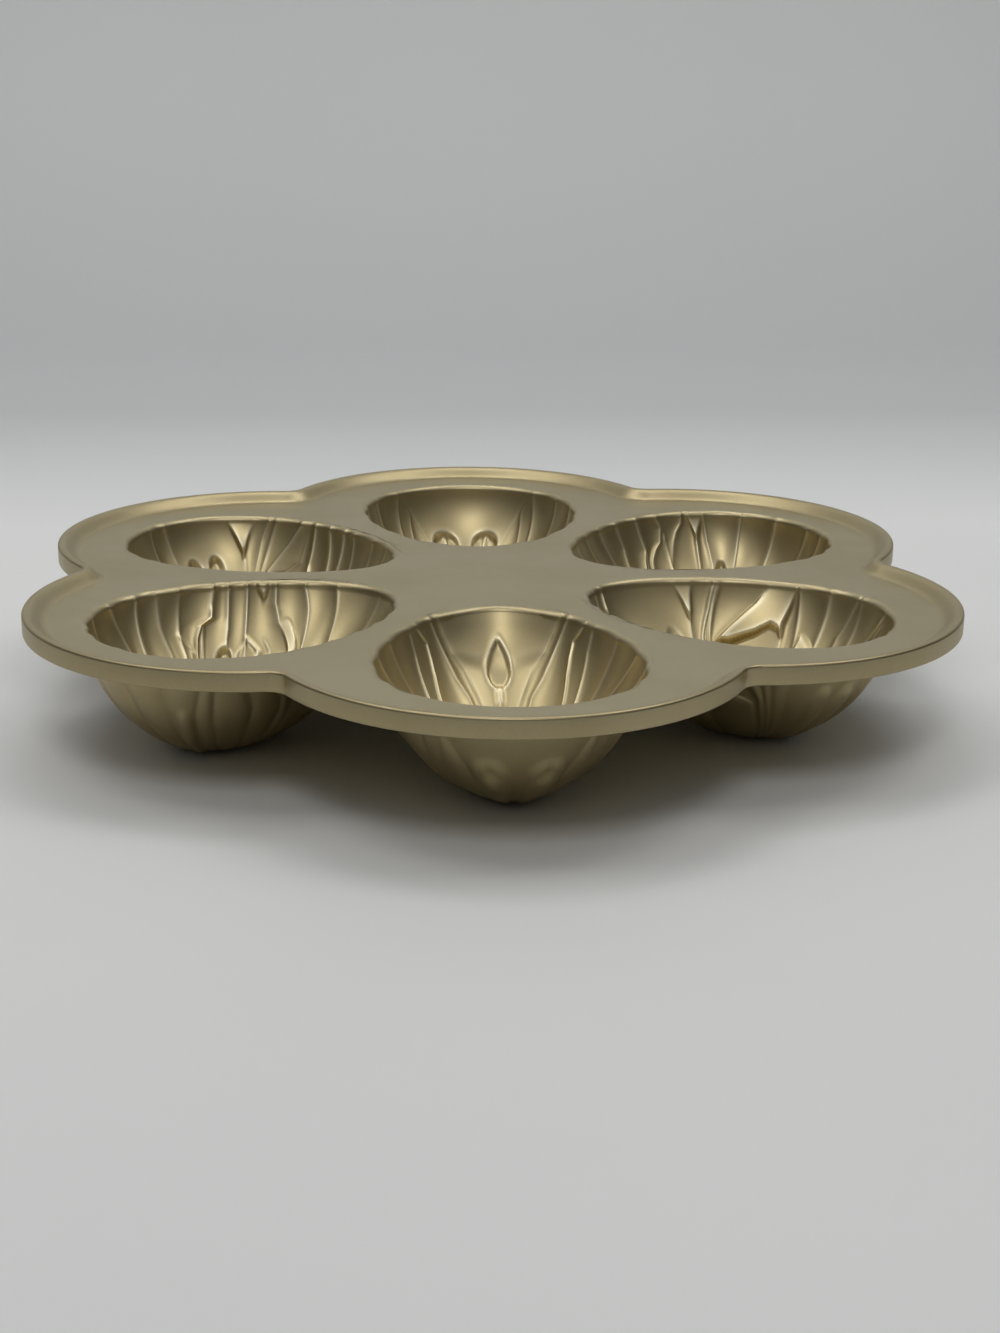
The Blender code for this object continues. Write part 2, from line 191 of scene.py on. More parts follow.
def add_piece(name, points, faces, material, attributes=()):
    """A mesh from points and faces, its doubles merged and its faces turned outwards."""
    mesh = bpy.data.meshes.new(name)
    mesh.from_pydata(points.tolist(), [], [face for group in faces for face in group.tolist()])
    for label, values in attributes:
        layer = mesh.attributes.new(label, "FLOAT", "POINT")
        layer.data.foreach_set("value", np.ascontiguousarray(values, dtype=np.float32))
    shape = bmesh.new()
    shape.from_mesh(mesh)
    bmesh.ops.remove_doubles(shape, verts=shape.verts, dist=MERGE_DISTANCE)
    bmesh.ops.recalc_face_normals(shape, faces=shape.faces)
    shape.to_mesh(mesh)
    shape.free()
    mesh.shade_smooth()
    mesh.set_sharp_from_angle(angle=SHARP_ANGLE)
    mesh.materials.append(material)
    piece = bpy.data.objects.new(name, mesh)
    bpy.context.scene.collection.objects.link(piece)
    print(name, len(mesh.vertices), "points,", len(mesh.loop_triangles), "triangles")
    return piece


# %% [markdown]
# The coat is a metallic paint: champagne in flat light, deeper gold where the wells reflect
# themselves. A picture of the paint could be laid on, but noise worked out from the place in the pan
# needs no seams. It has three scales: broad clouds tint the coat, small grains are the flakes in the
# paint, and a fine bump breaks up the reflections as the blasted metal under the coat does.

# %% Nodes of a material


def new_material(name):
    """A material with nodes, and its lists of nodes and links."""
    material = bpy.data.materials.new(name)
    material.use_nodes = True
    return material, material.node_tree.nodes, material.node_tree.links


def noise(nodes, links, place, scale, detail):
    """Noise from 0 to 1 with this many waves to a metre, and finer waves up to the detail."""
    texture = nodes.new("ShaderNodeTexNoise")
    texture.inputs["Scale"].default_value = scale
    texture.inputs["Detail"].default_value = detail
    links.new(place, texture.inputs["Vector"])
    return texture.outputs["Fac"]


def spread(nodes, links, value, low, high, to_low, to_high):
    """Value from low to high, carried to to_low to to_high."""
    node = nodes.new("ShaderNodeMapRange")
    for label, number in zip(("From Min", "From Max", "To Min", "To Max"), (low, high, to_low, to_high)):
        node.inputs[label].default_value = number
    links.new(value, node.inputs["Value"])
    return node.outputs["Result"]


def mixed(nodes, links, share, first, second):
    """First colour where share is 0 and second where it is 1."""
    node = nodes.new("ShaderNodeMix")
    node.data_type = "RGBA"
    links.new(share, node.inputs["Factor"])
    for socket, colour in ((node.inputs["A"], first), (node.inputs["B"], second)):
        if isinstance(colour, tuple):
            socket.default_value = (*colour, 1.0)
        else:
            links.new(colour, socket)
    return node.outputs["Result"]


def value_of(nodes, label):
    """A value that the mesh carries at every point."""
    node = nodes.new("ShaderNodeAttribute")
    node.attribute_name = label
    return node.outputs["Fac"]


# %% [markdown]
# The well's coat follows two values that its mesh carries: crest, where a pale highlight is painted
# along the ridges, and level_with_deck, where the lip runs out into the deck and takes the deck's
# painted greyer shade. The deck looks greyer because it lies open to the room, while a well's walls
# give each other their colour; that difference of light is painted into the tints of the deck and rim.

# %% The coat
COAT_PALE = (0.50, 0.415, 0.235)
COAT_DEEP = (0.45, 0.37, 0.20)
COAT_FLAKE = (0.60, 0.51, 0.31)
# A painted highlight: this pale colour is laid along the crests of the wells, where it stands in for bright
# lines of reflected light.
PAINTED_CREST_HIGHLIGHT = (0.80, 0.72, 0.50)
COAT_ROUGHNESS = (0.40, 0.44)  # in the deep clouds and in the pale ones
CLOUD_SCALE, CLOUD_DETAIL = 28.0, 4.0
CLOUD_RANGE = (0.35, 0.65)  # noise below is all deep and noise above is all pale
FLAKE_SCALE, FLAKE_DETAIL = 2600.0, 2.0
FLAKE_RANGE = (0.3, 0.7)
FLAKE_SHARE = 0.3
SKIN_SCALE, SKIN_DETAIL = 900.0, 3.0
SKIN_DEPTH = 0.05 * MM
OPEN_GRAIN = 0.3
WELL_GRAIN = 0.2
# Painted shade: the deck's and rim's copies of the one coat are greyer and darker, as the open deck and the
# rim's face look in the room's light. The wells keep the coat as it is.
DECK_PAINTED_SHADE = (0.86, 0.9, 1.0)
RIM_PAINTED_SHADE = (0.82, 0.83, 0.86)
WELL_TINT = (1.0, 1.0, 1.0)


def coat_colour(nodes, links, clouds, flakes, tint):
    """Pale and deeper clouds of the coat with fine bright flakes, each colour times the tint."""
    pale, deep, flake = (tuple(np.multiply(tint, part)) for part in (COAT_PALE, COAT_DEEP, COAT_FLAKE))
    return mixed(nodes, links, flakes, mixed(nodes, links, clouds, pale, deep), flake)


def coat(name, grain, tint, on_well=False):
    """The coat in one tint, with a bump of this strength; for the deck and the rim the tint is painted
    shade.
    """
    material, nodes, links = new_material(name)
    shader = nodes["Principled BSDF"]
    shader.inputs["Metallic"].default_value = 1.0
    place = nodes.new("ShaderNodeTexCoord").outputs["Object"]
    clouds = noise(nodes, links, place, CLOUD_SCALE, CLOUD_DETAIL)
    clouds = spread(nodes, links, clouds, *CLOUD_RANGE, 0.0, 1.0)
    flakes = noise(nodes, links, place, FLAKE_SCALE, FLAKE_DETAIL)
    flakes = spread(nodes, links, flakes, *FLAKE_RANGE, 0.0, FLAKE_SHARE)
    colour = coat_colour(nodes, links, clouds, flakes, tint)
    # On a well, a pale highlight is painted along the crests, and near the lip the deck's painted shade is
    # blended in.
    if on_well:
        colour = mixed(nodes, links, value_of(nodes, "crest_highlight"), colour, PAINTED_CREST_HIGHLIGHT)
        painted_deck_shade = coat_colour(nodes, links, clouds, flakes, DECK_PAINTED_SHADE)
        colour = mixed(nodes, links, value_of(nodes, "level_with_deck"), colour, painted_deck_shade)
    links.new(colour, shader.inputs["Base Color"])
    links.new(spread(nodes, links, clouds, 0.0, 1.0, *COAT_ROUGHNESS), shader.inputs["Roughness"])
    bump = nodes.new("ShaderNodeBump")
    bump.inputs["Strength"].default_value = grain
    bump.inputs["Distance"].default_value = SKIN_DEPTH
    links.new(noise(nodes, links, place, SKIN_SCALE, SKIN_DETAIL), bump.inputs["Height"])
    links.new(bump.outputs["Normal"], shader.inputs["Normal"])
    return material


deck_coat = coat("deck_coat", OPEN_GRAIN, DECK_PAINTED_SHADE)
rim_coat = coat("rim_coat", OPEN_GRAIN, RIM_PAINTED_SHADE)
well_coat = coat("well_coat", WELL_GRAIN, WELL_TINT, on_well=True)
print("coats:", [material.name for material in (deck_coat, rim_coat, well_coat)])

# %% [markdown]
# The rim is one section carried round the lobes. Its outside stands straight up from a small round
# at the bottom to a round at the top; inside the narrow flat land it eases down to the deck like half
# a wave of a cosine, so there is no line where rim and deck meet.

# %% The rim
RIM_RAISE = RIM_TOP - DECK_TOP
RIM_WIDTH = 7.5 * MM
RIM_LAND = 1.6 * MM
RIM_EDGE_RADIUS = 0.9 * MM
RIM_FOOT_RADIUS = 0.6 * MM
ROUND_STEPS = 7
SLOPE_STEPS = 17


def quarter_round(inset, height, radius, start, stop):
    """Points of a round about (inset, height), from start to stop degrees."""
    angles = np.radians(np.linspace(start, stop, ROUND_STEPS))
    return [(inset + radius * math.cos(a), height + radius * math.sin(a)) for a in angles]


def rim_section():
    """The rim's section as (inset from the edge, height), clockwise from its inner bottom."""
    foot = quarter_round(RIM_FOOT_RADIUS, DECK_BOTTOM + RIM_FOOT_RADIUS, RIM_FOOT_RADIUS, 270, 180)
    top = quarter_round(RIM_EDGE_RADIUS, RIM_TOP - RIM_EDGE_RADIUS, RIM_EDGE_RADIUS, 180, 90)
    shares = np.linspace(0, 1, SLOPE_STEPS)
    slope = np.column_stack([
        RIM_LAND + (RIM_WIDTH - RIM_LAND) * shares,
        RIM_TOP - RIM_RAISE * (1 - np.cos(math.pi * shares)) / 2,
    ])
    return np.array([(RIM_WIDTH, DECK_BOTTOM), *foot, *top, *slope])


def add_rim():
    """The section carried round: each of its points becomes a lobed outline at that inset and height."""
    section = rim_section()
    rings = np.array([at_height(lobed_outline(inset), height) for inset, height in section])
    columns = rings.shape[1]
    closed = np.concatenate([rings, rings[:1]])
    return add_piece("rim_casting", closed.reshape(-1, 3), [ring_faces(len(closed), columns)], rim_coat)


rim = add_rim()
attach(rim, "root")
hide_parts("raised_rim")

# %% [markdown]
# Each well is a deep egg-shaped bowl. It narrows towards its floor, and the floor lies further out
# than the lip does. Its wall is folded: flutes, creases, leaves and petals run from the lip to the
# floor. They could be sculpted by hand, but numbers are easier to correct against a photograph, so
# ridges are drawn as lines on the wall, given by their direction at some shares of the way down.
# Between two ridges the wall sinks into the metal or stands proud, and where one panel ends higher
# than the next begins, the ridge is a step.

# %% Sizes of a well
PAN_RADIUS = LOBE_CENTRE + LOBE_RADIUS
WALL = 3.2 * MM
SIDE_WALL = 1.0 * MM
WELL_DEPTH = 39.5 * MM
LIP_RADIUS = 2.2 * MM
LEDGE = 11.9 * MM  # flat deck between the rim and a well
HUB_RADIUS = 38.2 * MM  # of the open middle of the deck
BRIDGE = 6.2 * MM  # least deck between neighbouring wells
EGG = 0.19  # share by which a well widens towards the rim
BOWL_FULLNESS = 2.0  # power of the bowl's section, where 2 is an ellipse
INSIDE_TAPER = 0.26  # share by which the bowl narrows towards its floor
OUTSIDE_TAPER = 0.20
FOOT_DOWN = 0.885  # share of the way down where the outside is cut off flat
print("well", round(WELL_DEPTH / MM, 1), "mm deep, at most", round(BRIDGE / MM, 1), "mm from the next")

# %% [markdown]
# A fold is the strip of wall from its own line to the next fold's line. Sink is how deep its middle
# lies, flat how square its hollow is, and lean how far it turns like a step. Top and low are the shares
# of the way down where it begins and ends, foot rounds its lower end, and slant sinks it further down.

# %% Folds of the petal well
Fold = namedtuple("Fold", "path sink flat lean top low foot slant", defaults=(2, 0.0, -0.3, 0.95, 0.0, 0.0))


def path(*pairs):
    """A line on the wall as (share of the way down, direction in degrees) pairs."""
    return np.array(pairs, float)


def straight(lip, base):
    """A line that goes evenly from one direction at the lip to another at the floor."""
    return path((0.0, lip), (1.0, base))


def mirrored(panel, half, petal):
    """Folds of a well that is the same on both sides of its outward direction."""
    edges = [fold.path for fold in half[1:]] + [petal.path]
    other = [fold._replace(path=edge * (1, -1), lean=-fold.lean) for fold, edge in zip(half, edges)]
    return other[::-1] + [panel] + list(half) + [petal]


LEAF_INNER_LINE = path((0, 129.5), (0.085, 134.3), (0.165, 134.6), (0.25, 133.7), (0.43, 129.1), (1, 124))
LEAF_OUTER_LINE = path((0, 124), (0.115, 124.8), (0.24, 123.4), (0.41, 121), (1, 119))
PETAL_EDGE = path(
    (0, 144), (0.075, 146.2), (0.175, 150.3), (0.225, 153.9), (0.26, 156.5), (0.5, 166), (1, 172),
)

PETAL_FOLDS = mirrored(
    panel=Fold(path((0, -34), (0.13, -31), (0.33, -26), (1, -12)), 0.5, 4, top=-0.2),
    half=(
        Fold(path((0, 34), (0.13, 31), (0.33, 26), (1, 12)), 0.45, 2, 0.2, top=0.02),
        Fold(path((0, 35.3), (0.135, 32.5), (0.325, 38), (1, 46)), 0.2, 8, 0.3, top=0.02),
        Fold(path((0, 36.7), (0.29, 45.5), (1, 66)), 0.9, 2, 0.4),
        Fold(straight(55, 82), 1.0, 2, 0.4),
        Fold(path((0, 73), (0.19, 83), (1, 100)), 1.0, 2, 0.4),
        Fold(path((0, 90), (0.45, 104), (1, 112)), 1.0, 2, 0.3),
        Fold(path((0, 108), (0.46, 112), (1, 118)), 0.8, 2, -0.4),
        Fold(LEAF_OUTER_LINE, 0.15, 8, -0.5, top=0.0),
        Fold(LEAF_INNER_LINE, 0.9, 3, 0.3),
        Fold(path((0, 139.5), (0.3, 149), (0.405, 154.8), (1, 164)), 0.7, 2, 0.5),
    ),
    petal=Fold(PETAL_EDGE, -1.9, 5, 0.0, top=-0.2, low=0.305, foot=0.055, slant=4.5),
)
print("petal well:", len(PETAL_FOLDS), "folds")

# %% [markdown]
# The leaf well has no side like the other. Narrow flutes give way to a pointed leaf, and on the far
# side a broad panel runs out between two steps.

# %% Folds of the leaf well
LEAF_FOLDS = [
    Fold(straight(-178, -180), 0.6),
    Fold(path((0, -160), (0.3, -166), (1, -172)), 0.8, 2, 0.2),
    Fold(path((0, -143), (0.3, -152), (1, -162)), 0.9, 2, 0.2),
    Fold(path((0, -128), (0.25, -137), (1, -151)), 0.9, 2, 0.2),
    Fold(path((0, -113), (0.33, -125), (1, -139)), 1.0, 2, 0.3),
    Fold(path((0, -106.5), (0.33, -114.5), (1, -128)), 0.8, 2, 0.3),
    Fold(path((0, -98), (0.32, -108), (1, -117)), 0.8, 2, 0.3),
    Fold(path((0, -90), (0.245, -93.3), (0.33, -95.3), (1, -104)), 0.7, 2, 0.5),
    Fold(
        path((0, -86), (0.12, -86.4), (0.225, -86.5), (0.29, -81.4), (0.33, -71.5), (1, -68)),
        -0.2, 8, -1.0,
    ),
    Fold(path((0, -82), (0.12, -77.7), (0.195, -74.1), (0.305, -68.7), (1, -63)), 0.6, 2, -0.3),
    Fold(path((0, -69.3), (0.155, -67.4), (0.3, -65.5), (1, -59)), 0.5, 2, -0.3),
    Fold(path((0, -66), (0.11, -63.6), (0.3, -62), (1, -55)), 0.5, 2, -0.3),
    Fold(path((0, -58.5), (0.2, -55.3), (0.31, -55.8), (1, -51)), 0.0, 4, 0.0),
    Fold(path((0, -46.3), (0.2, -54.3), (0.31, -54.8), (1, -49)), 0.6, 3, 0.0),
    Fold(path((0, -12), (0.26, -13), (1, -8)), 1.0, 2, -0.6),
    Fold(straight(-2, 4), 0.4, 4, -0.2),
    Fold(path((0, 30.5), (0.2, 37), (1, 43)), 0.9, 2, 0.4),
    Fold(path((0, 49.5), (0.33, 47.5), (1, 51)), 0.5, 2),
    Fold(path((0, 52), (0.11, 54), (0.22, 56.5), (0.37, 56), (1, 60)), 0.9, 3, 0.0),
    Fold(path((0, 65.8), (0.3, 66.2), (1, 68)), 0.9, 2, 0.4),
    Fold(path((0, 79.3), (0.3, 77.8), (1, 76)), 0.9, 2, 0.0, top=-0.1),
    Fold(path((0, 81), (0.1, 82.5), (0.2, 84.7), (0.33, 85), (1, 90)), 0.0, 4),
    Fold(path((0, 91.5), (0.1, 97), (0.2, 105), (0.3, 114.5), (0.335, 117), (1, 130)), 0.6, 2, 0.5),
    Fold(path((0, 112), (0.14, 116), (0.3, 121.2), (1, 137)), 0.5, 3),
    Fold(path((0, 122), (0.14, 124.4), (0.19, 126), (0.31, 128.5), (1, 144)), 0.0, 4),
    Fold(path((0, 129), (0.1, 127.4), (0.195, 126.4), (0.31, 129), (1, 145)), 0.5, 6, low=0.85),
    Fold(path((0, 172), (0.1, 175), (1, 177)), 0.5),
]
print("leaf well:", len(LEAF_FOLDS), "folds")

# %% [markdown]
# The flute well is ringed by even flutes, some of them crossed by a crooked stem.

# %% Folds of the flute well
FLUTE_STEM = path((0, -98.3), (0.15, -98.2), (0.185, -93.7), (0.255, -91.8), (0.35, -91.2), (1, -95))
FLUTE_FOLDS = [
    Fold(path((0, -177), (0.3, -183), (1, -192)), 0.5, 3),
    Fold(path((0, -148.5), (0.24, -159), (0.335, -164.5), (1, -179)), 1.0, 2, 0.4),
    Fold(path((0, -134), (0.115, -139.1), (0.33, -146.5), (1, -167)), 1.0, 2, 0.4),
    Fold(
        path((0, -122), (0.09, -123.8), (0.195, -128.4), (0.245, -132), (0.35, -140), (1, -155)),
        1.2, 2, 0.9,
    ),
    Fold(path((0, -111), (0.27, -114.5), (1, -129)), 1.0, 3, 0.3),
    Fold(path((0, -103.8), (0.215, -105.9), (0.27, -105.9), (1, -113)), 1.0, 2, 0.3),
    Fold(FLUTE_STEM, 1.1, 2, 0.7),
    Fold(path((0, -85), (0.22, -84), (0.34, -86), (1, -86)), 0.9, 2, 0.3, top=0.0),
    Fold(path((0, -74.5), (0.17, -75.3), (0.33, -78), (1, -79)), 1.1, 2, -0.6),
    Fold(path((0, -65), (0.09, -64.4), (0.27, -63.3), (1, -64)), 1.1, 2, -0.6),
    Fold(path((0, -50), (0.14, -53), (0.25, -55), (1, -52)), 1.0, 2, -0.4),
    Fold(straight(-33, -33), 1.0, 2, -0.4),
    Fold(straight(-18, -16), 0.9, 2, -0.4),
    Fold(path((0, -6), (0.27, -5), (1, -3)), 0.8, 4),
    Fold(path((0, 13.8), (0.17, 15), (0.33, 16.2), (1, 21)), 1.0, 2, 0.5),
    Fold(path((0, 32), (0.175, 34), (0.315, 35.2), (1, 39)), 1.0, 2, 0.5),
    Fold(path((0, 50.5), (0.155, 50.5), (0.325, 48.5), (1, 52)), 0.7, 2, 0.3),
    Fold(path((0, 57.5), (0.125, 56), (0.325, 57), (1, 66)), 0.7, 3, 0.0),
    Fold(path((0, 61.5), (0.04, 62.5), (0.09, 66), (0.155, 69), (0.31, 74.8), (1, 87)), 0.7, 3, 0.0),
    Fold(
        path((0, 75), (0.055, 74), (0.145, 76.7), (0.185, 81), (0.25, 86), (0.33, 89.4), (1, 104)),
        1.0, 2, -0.7,
    ),
    Fold(path((0, 86.5), (0.18, 87.4), (0.25, 91), (0.33, 95), (1, 114)), 1.0, 2, -0.5),
    Fold(path((0, 99.5), (0.14, 100.5), (0.29, 106), (1, 124)), 1.0, 2, -0.5),
    Fold(path((0, 112), (0.28, 114.5), (1, 135)), 1.0, 2, -0.4),
    Fold(path((0, 125), (0.3, 130), (1, 146)), 1.0, 2, -0.3),
    Fold(path((0, 139), (0.3, 145), (1, 156)), 0.8, 2, -0.2),
    Fold(path((0, 157), (0.3, 160), (1, 163)), 0.6),
]
print("flute well:", len(FLUTE_FOLDS), "folds")

# %% [markdown]
# Some shapes don't run along the folds: a drop on the petal, arched recesses near the floor, facets
# that hang forward from the lip and catch the light, and thin beads. Each is a function that gets the
# depth at every point of the grid and gives it back changed, with edges about as soft as a cast edge
# is. A knob is on the outside alone, so it gives a height of its own.

# %% Kinds of mark on the wall
ABOVE_LIP = -1.0
BEAD_FADE = 0.04
RECESS_FADE = 0.05
RECESS_ARCH = 0.1
RECESS_END = 0.72
RECESS_RUN_OUT = 0.2
RECESS_ROUND = 0.7
DROP_FULL = 2.6  # 1 over the greatest value of share times the root of 1 less share
DROP_EDGE = 0.75  # how steeply the raised edge falls off, for each degree beside it
DROP_FLOOR = -1.5
DROP_END = 25


def smooth_step(value):
    """0 below 0, 1 above 1, and three squares less two cubes between."""
    value = np.clip(value, 0.0, 1.0)
    return value * value * (3 - 2 * value)


def between(value, low, high, edge):
    """1 between low and high and 0 outside, each side a step this wide."""
    return smooth_step((value - low) / edge + 0.5) * smooth_step((high - value) / edge + 0.5)


def line_at(line, rows):
    """The line's direction at each row, straight between its points."""
    return np.interp(rows, line[:, 0], line[:, 1])


def facet(left, right, foot, proud, top=0.0, edge=1.3, fade=0.025, turn=0.0):
    """A flat panel between two lines that leans out from its top until it stands proud at its foot.

    The foot is a line too: how far down the panel ends, at some directions. The turn is how much
    further proud the panel stands along its second line than along its first.
    """
    lowest = foot[:, 1].max()
    start = top if top > 0 else ABOVE_LIP

    def shape(turned_to, rows, depth):
        first, last = line_at(left, rows), line_at(right, rows)
        across = np.clip((turned_to - first) / np.maximum(last - first, 1.0), 0, 1)
        end = np.interp(turned_to, foot[:, 0], foot[:, 1])
        inside = between(turned_to, first, last, edge) * between(rows, start, end, fade)
        own = -(proud + turn * across) * (rows - top) / (lowest - top)
        return depth + (own - depth) * inside

    return shape


def knob(angle, half_width, middle, half_height, height):
    """A low round knob on the outside of a well, behind a hollow in its inside.

    Its height falls from the middle as half of an ellipsoid does, and is given in millimetres.
    """

    def shape(turned_to, rows):
        beside = ((turned_to - angle + 180) % 360 - 180) / half_width
        along = (rows - middle) / half_height
        return height * np.sqrt(np.maximum(1 - beside**2 - along**2, 0)) * MM

    return shape


def recess(angle, half_width, top, sink):
    """A hollow with a round section and an arched top that runs out near the floor."""

    def shape(turned_to, rows, depth):
        beside = np.clip(np.abs((turned_to - angle + 180) % 360 - 180) / half_width, 0, 1)
        dome = np.sqrt(1 - beside**2)
        start = smooth_step((rows - top - RECESS_ARCH * (1 - dome)) / RECESS_FADE)
        end = 1 - smooth_step((rows - RECESS_END) / RECESS_RUN_OUT)
        return depth + sink * dome**RECESS_ROUND * start * end

    return shape


def teardrop(angle, half_width, top, foot, sink, bead):
    """A drop with a raised edge: its width grows evenly from the point and closes in a round."""

    def shape(turned_to, rows, depth):
        beside = np.abs((turned_to - angle + 180) % 360 - 180)
        share = (rows - top) / (foot - top)
        width = DROP_FULL * half_width * np.maximum(share, 0) * np.sqrt(np.maximum(1 - share, 0))
        beyond = (np.maximum(-share, 0) + np.maximum(share - 1, 0)) * DROP_END
        outside = np.maximum((beside - width) * DROP_EDGE, DROP_FLOOR) + beyond
        inside = 1 - smooth_step(outside + 0.5)
        return depth + sink * inside - bead * np.exp(-(outside**2))

    return shape


def bead(line, height, half_width, top, low):
    """A thin raised line with the section of a bell curve."""

    def shape(turned_to, rows, depth):
        beside = (turned_to - line_at(line, rows) + 180) % 360 - 180
        section = np.exp(-((beside / half_width) ** 2))
        return depth - height * section * between(rows, top, low, BEAD_FADE)

    return shape


# %% [markdown]
# The petal well is the plainest: a drop with a raised edge hangs in the petal's middle, and two arched
# recesses stand opposite it, with a knob outside behind each.

# %% Marks of the petal well
PETAL_MARKS = (
    recess(-14.0, 9.5, 0.267, 1.2),
    recess(14.0, 9.5, 0.267, 1.2),
    bead(straight(-13.5, -13.5), 0.5, 1.5, 0.3, 0.5),
    bead(straight(13.5, 13.5), 0.5, 1.5, 0.3, 0.5),
    teardrop(180.0, 8.3, 0.13, 0.375, 0.5, 0.5),
    bead(straight(180, 180), 0.7, 3.5, 0.37, 0.46),
    bead(LEAF_INNER_LINE, 0.5, 0.7, 0.01, 0.8),
    bead(LEAF_INNER_LINE * (1, -1), 0.5, 0.7, 0.01, 0.8),
    bead(LEAF_OUTER_LINE, 0.3, 0.5, 0.01, 0.8),
    bead(LEAF_OUTER_LINE * (1, -1), 0.3, 0.5, 0.01, 0.8),
)
PETAL_KNOBS = tuple(knob(angle, 7.2, 0.43, 0.085, 3.8) for angle in (-14.0, 14.0))
print("petal well:", len(PETAL_MARKS), "marks inside and", len(PETAL_KNOBS), "knobs outside")

# %% [markdown]
# In the leaf well a broad facet leans out between two lines until it stands over 5 mm proud, and it is
# the brightest place in the pan, because its face mirrors the key lamp.

# %% Marks of the leaf well
LEAF_MARKS = (
    facet(
        path((0, 81), (0.1, 82.5), (0.2, 84.7), (0.33, 85)),
        path((0, 91.5), (0.1, 97), (0.2, 105), (0.3, 114.5), (0.335, 118)),
        path(
            (85, 0.27), (86.5, 0.23), (90, 0.21), (93, 0.235), (97.3, 0.27), (104.4, 0.305), (112.3, 0.345),
        ),
        1.4, turn=2.6,
    ),
    facet(
        path((0, -58.5), (0.2, -55.3)),
        path((0, -46.3), (0.2, -54.3)),
        path((-60, 0.2), (-45, 0.2)),
        0.8, fade=0.1, turn=1.0,
    ),
    facet(
        path((0, 122), (0.14, 124.4), (0.19, 126)),
        path((0, 129), (0.1, 127.4), (0.19, 126.6)),
        path((120, 0.19), (130, 0.19)),
        0.8, fade=0.08,
    ),
    facet(
        path((0.245, 75.0), (0.32, 66.9), (0.37, 62.8)),
        path((0.245, 75.8), (0.35, 77.3)),
        path((60, 0.42), (80, 0.42)),
        0.9, top=0.245,
    ),
    recess(-38.5, 4.5, 0.2, 1.1),
    recess(-25.0, 5.5, 0.215, 1.0),
    recess(138.0, 4.5, 0.225, 0.35),
    bead(path((0, 111), (0.14, 115), (0.3, 119.6), (1, 135)), 0.4, 0.6, 0.0, 0.8),
    bead(path((0, 113), (0.14, 117), (0.3, 123.2), (1, 139)), 0.4, 0.6, 0.0, 0.8),
    bead(path((0, 176), (0.08, 184)), 0.4, 0.8, 0.01, 0.1),
    bead(path((0, 171), (0.1, 175)), 0.4, 0.8, 0.01, 0.12),
    bead(path((0, 30), (0.2, 37)), 0.4, 0.7, 0.03, 0.2),
    bead(path((0, 29), (0.16, 32)), 0.4, 0.6, 0.07, 0.16),
    bead(path((0.2, -92.7), (0.33, -95.3)), 0.4, 0.6, 0.24, 0.5),
)
print("leaf well:", len(LEAF_MARKS), "marks")

# %% [markdown]
# In the flute well small triangles hang from the lip, and thin beads run down some of the flutes.

# %% Marks of the flute well
FLUTE_MARKS = (
    facet(
        path((0, 51), (0.125, 55.2)),
        path((0, 58.7), (0.125, 56.2)),
        path((50, 0.125), (60, 0.125)),
        0.7, fade=0.08,
    ),
    facet(
        path((0, -118.8), (0.05, -118.2)),
        path((0, -114.5), (0.05, -117.6)),
        path((-120, 0.06), (-113, 0.06)),
        0.25, fade=0.06,
    ),
    facet(
        path((0.17, -131.5), (0.185, -132.5), (0.27, -139.6), (0.35, -144.9)),
        path((0.17, -127.5), (0.195, -128.4), (0.245, -132), (0.35, -140)),
        path((-150, 0.4), (-125, 0.4)),
        1.2, top=0.17,
    ),
    recess(-105.3, 4.2, 0.3, 1.3),
    recess(44.0, 3.6, 0.27, 0.9),
    bead(path((0.1, 55.7), (0.325, 57)), 0.4, 1.2, 0.1, 0.4),
    bead(FLUTE_STEM, 0.45, 0.6, 0.1, 0.8),
    bead(path((0.2, -94.7), (0.355, -94.5)), 0.4, 0.6, 0.19, 0.6),
    bead(path((0.22, -83.5), (0.34, -90.5)), 0.35, 0.8, 0.22, 0.4),
    bead(path((0.27, -115), (0.355, -111.7)), 0.4, 0.6, 0.27, 0.5),
    bead(path((0.27, -115), (0.34, -122.8)), 0.6, 1.3, 0.27, 0.4),
    bead(path((0.28, -123.6), (0.345, -129)), 0.35, 0.6, 0.28, 0.4),
    bead(path((0.105, 73), (0.25, 74.3), (0.31, 75.5)), 0.35, 0.5, 0.1, 0.4),
    bead(path((0.215, 87.5), (0.33, 92)), 0.35, 0.6, 0.2, 0.45),
)
print("flute well:", len(FLUTE_MARKS), "marks")

# %% [markdown]
# The six wells stand at equal turns round the hub, and opposite wells share a design. A design also
# says how far its wells are moved out, how much narrower they are than the room allows, and how much
# further out the floor lies than the lip does, as a share of the depth.

# %% Wells in the pan
Design = namedtuple("Design", "shift slack lean folds marks knobs", defaults=((),))
Well = namedtuple("Well", "name centre half_length half_width design turn")
WELL_NAMES = ("front", "front_right", "back_right", "back", "back_left", "front_left")
ALONG_END = 0.95  # the last of a well is too narrow to come near its neighbours
ALONG_SAMPLES = 96
PETAL_WELL = Design(0.0, 0.0, 0.20, PETAL_FOLDS, PETAL_MARKS, PETAL_KNOBS)
LEAF_WELL = Design(0.0, 2.3 * MM, 0.14, LEAF_FOLDS, LEAF_MARKS)
FLUTE_WELL = Design(2.0 * MM, 1.0 * MM, 0.27, FLUTE_FOLDS, FLUTE_MARKS)
DESIGNS = (PETAL_WELL, LEAF_WELL, FLUTE_WELL)


def half_width_beside_neighbours(centre, half_length):
    """The half width at which an egg-shaped well leaves BRIDGE to the wells beside it."""
    along = np.linspace(-ALONG_END, ALONG_END, ALONG_SAMPLES)
    room = (centre + half_length * along) * math.sin(SECTOR / 2) - WALL - BRIDGE / 2
    share = (1 + EGG * along) * np.sqrt(1 - along**2)
    return float(np.min(room / (math.cos(SECTOR / 2) * share)))


